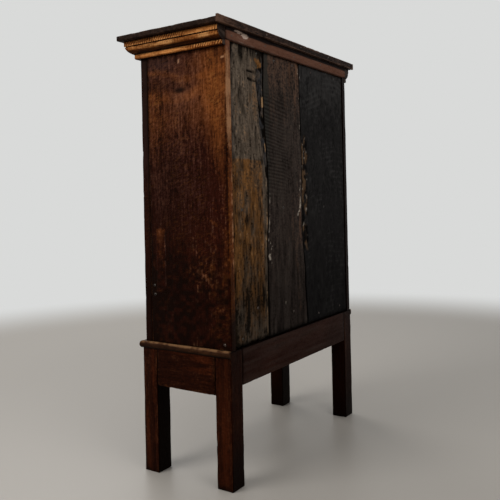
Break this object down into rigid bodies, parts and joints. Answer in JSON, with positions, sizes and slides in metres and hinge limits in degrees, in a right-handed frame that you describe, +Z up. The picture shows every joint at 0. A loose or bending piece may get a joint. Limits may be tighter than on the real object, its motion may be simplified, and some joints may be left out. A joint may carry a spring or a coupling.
{
  "type": "spice cupboard on stand",
  "caption": "Oak spice cupboard with a moulded cornice, a panelled door above small drawers and pigeonholes inside, on a square-legged joined stand.",
  "frame": {"origin": "on the floor, under the middle of the whole piece's box", "axes": "+Z up, front with its door and drawers towards -Y, +X to the right seen from the front"},
  "size_m": [0.6574, 0.292, 1.0062],
  "materials": {
    "dark_oak": "dark polished and worn",
    "golden_oak": "rubbed golden brown",
    "black_oak": "blackened",
    "grey_oak": "weathered and unpolished",
    "red_oak": "smooth red-brown",
    "plain_oak": "unpolished inside surface",
    "iron": "dark forged"
  },
  "bodies": {
    "carcase_and_stand": {"top_board": "black_oak", "top_back_lath": "black_oak", "cornice_front": "golden_oak", "cornice_left": "golden_oak", "cornice_right": "golden_oak", "back_frieze": "red_oak", "side_left": "dark_oak", "side_right": "dark_oak", "bottom_board": "plain_oak", "drawer_divider_board": "plain_oak", "back_board_1": "grey_oak", "back_board_2": "black_oak", "back_board_3": "black_oak", "front_stile_left": "dark_oak", "front_stile_right": "dark_oak", "front_rail_top": "dark_oak", "front_rail_middle": "dark_oak", "front_rail_bottom": "dark_oak", "shelf_low": "plain_oak", "shelf_high": "plain_oak", "upright_left": "plain_oak", "upright_right": "plain_oak", "drawer_partition": "dark_oak", "hinge_upper_frame_leaf": "iron", "hinge_upper_pin": "iron", "hinge_lower_frame_leaf": "iron", "hinge_lower_pin": "iron", "leg_front_left": "dark_oak", "leg_front_right": "dark_oak", "leg_back_left": "dark_oak", "leg_back_right": "dark_oak", "stand_rail_front": "dark_oak", "stand_rail_back": "dark_oak", "stand_rail_left": "dark_oak", "stand_rail_right": "dark_oak", "stand_bead_front": "golden_oak", "stand_bead_left": "golden_oak", "stand_bead_right": "golden_oak"},
    "door": {"door_stile_hinge": "dark_oak", "door_stile_lock": "dark_oak", "door_rail_top": "dark_oak", "door_rail_bottom": "dark_oak", "door_panel": "dark_oak", "door_knob": "dark_oak", "door_lock": "iron", "door_escutcheon": "iron", "hinge_upper_door_leaf": "iron", "hinge_lower_door_leaf": "iron"},
    "drawer_left": {"drawer_left_front": "dark_oak", "drawer_left_side_left": "plain_oak", "drawer_left_side_right": "plain_oak", "drawer_left_back": "plain_oak", "drawer_left_bottom": "plain_oak", "drawer_left_knob": "dark_oak"},
    "drawer_right": {"drawer_right_front": "dark_oak", "drawer_right_side_left": "plain_oak", "drawer_right_side_right": "plain_oak", "drawer_right_back": "plain_oak", "drawer_right_bottom": "plain_oak", "drawer_right_knob": "dark_oak"}
  },
  "joints": [
    {"name": "door_hinge", "type": "hinge", "parent": "carcase_and_stand", "child": "door", "pos_m": [-0.26925, -0.1106, 0.6795], "axis": [0, 0, -1], "range_deg": [0, 175]},
    {"name": "drawer_left_slide", "type": "slide", "parent": "carcase_and_stand", "child": "drawer_left", "axis": [0, -1, 0], "range_m": [0, 0.17]},
    {"name": "drawer_right_slide", "type": "slide", "parent": "carcase_and_stand", "child": "drawer_right", "axis": [0, -1, 0], "range_m": [0, 0.17]}
  ]
}
